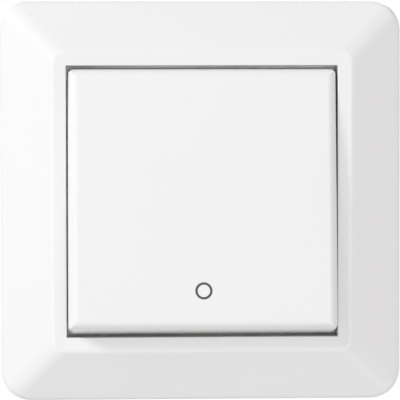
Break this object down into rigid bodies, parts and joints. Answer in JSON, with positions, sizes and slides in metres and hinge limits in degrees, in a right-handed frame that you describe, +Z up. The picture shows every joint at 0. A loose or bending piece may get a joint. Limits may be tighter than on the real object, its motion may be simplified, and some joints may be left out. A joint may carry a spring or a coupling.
{
  "type": "two-pole light switch",
  "caption": "Square flush-mounted rocker switch: sloping cover frame, wide tilting rocker with an off mark, steel support ring and a terminal housing whose contact levers follow the rocker.",
  "frame": {"origin": "centre of the cover frame on the wall plane, midway between the two box screws", "axes": "+X to the right as the user sees the switch, +Y into the wall, +Z up; the rocker faces -Y"},
  "size_m": [0.082, 0.0404, 0.082],
  "materials": {
    "frame_white": "glossy moulded, pure white",
    "rocker_white": "glossy moulded, pure white",
    "carrier_plastic": "satin moulded, light grey",
    "cover_plastic": "satin moulded, off-white",
    "base_plastic": "fine spark-eroded texture, off-white",
    "plunger_plastic": "natural nylon",
    "ring_steel": "zinc plated pressing",
    "rivet_steel": "nickel plated",
    "screw_steel": "zinc plated",
    "spring_steel": "bright drawn wire",
    "strip_brass": "stamped",
    "terminal_brass": "turned and tapped",
    "contact_silver": "silver alloy"
  },
  "bodies": {
    "switch_body": {"cover_frame": "frame_white", "support_ring": "ring_steel", "housing_cover": "cover_plastic", "housing_base": "base_plastic", "housing_rivets": "rivet_steel", "clamp_screws": "screw_steel", "knife_bracket_left": "strip_brass", "fixed_strip_left": "strip_brass", "fixed_contact_left": "contact_silver", "line_terminal_left": "terminal_brass", "load_terminal_left": "terminal_brass", "knife_bracket_right": "strip_brass", "fixed_strip_right": "strip_brass", "fixed_contact_right": "contact_silver", "line_terminal_right": "terminal_brass", "load_terminal_right": "terminal_brass"},
    "rocker": {"rocker": "rocker_white", "rocker_carrier": "carrier_plastic", "plunger_spring_left": "spring_steel", "plunger_spring_right": "spring_steel"},
    "contact_lever_left": {"contact_lever_left": "strip_brass", "moving_contact_left": "contact_silver"},
    "plunger_left": {"plunger_left": "plunger_plastic"},
    "contact_lever_right": {"contact_lever_right": "strip_brass", "moving_contact_right": "contact_silver"},
    "plunger_right": {"plunger_right": "plunger_plastic"}
  },
  "joints": [
    {"name": "rocker_tilt", "type": "hinge", "parent": "switch_body", "child": "rocker", "pos_m": [0, -0.004, 0], "axis": [1, 0, 0], "range_deg": [0, 10]},
    {"name": "contact_lever_left_swing", "type": "hinge", "parent": "switch_body", "child": "contact_lever_left", "pos_m": [-0.009, 0.00857, 0], "axis": [1, 0, 0], "range_deg": [-18, 0]},
    {"name": "plunger_left_slide", "type": "slide", "parent": "rocker", "child": "plunger_left", "axis": [0, -0.9962, 0.0872], "range_m": [0, 0.001], "stiffness_N_per_m": 400, "deforming": ["plunger_spring_left"]},
    {"name": "contact_lever_right_swing", "type": "hinge", "parent": "switch_body", "child": "contact_lever_right", "pos_m": [0.009, 0.00857, 0], "axis": [1, 0, 0], "range_deg": [-18, 0]},
    {"name": "plunger_right_slide", "type": "slide", "parent": "rocker", "child": "plunger_right", "axis": [0, -0.9962, 0.0872], "range_m": [0, 0.001], "stiffness_N_per_m": 400, "deforming": ["plunger_spring_right"]}
  ],
  "couplings": [
    {"joint": "contact_lever_left_swing", "follows": "rocker_tilt", "ratio": -1.8},
    {"joint": "contact_lever_right_swing", "follows": "rocker_tilt", "ratio": -1.8}
  ]
}
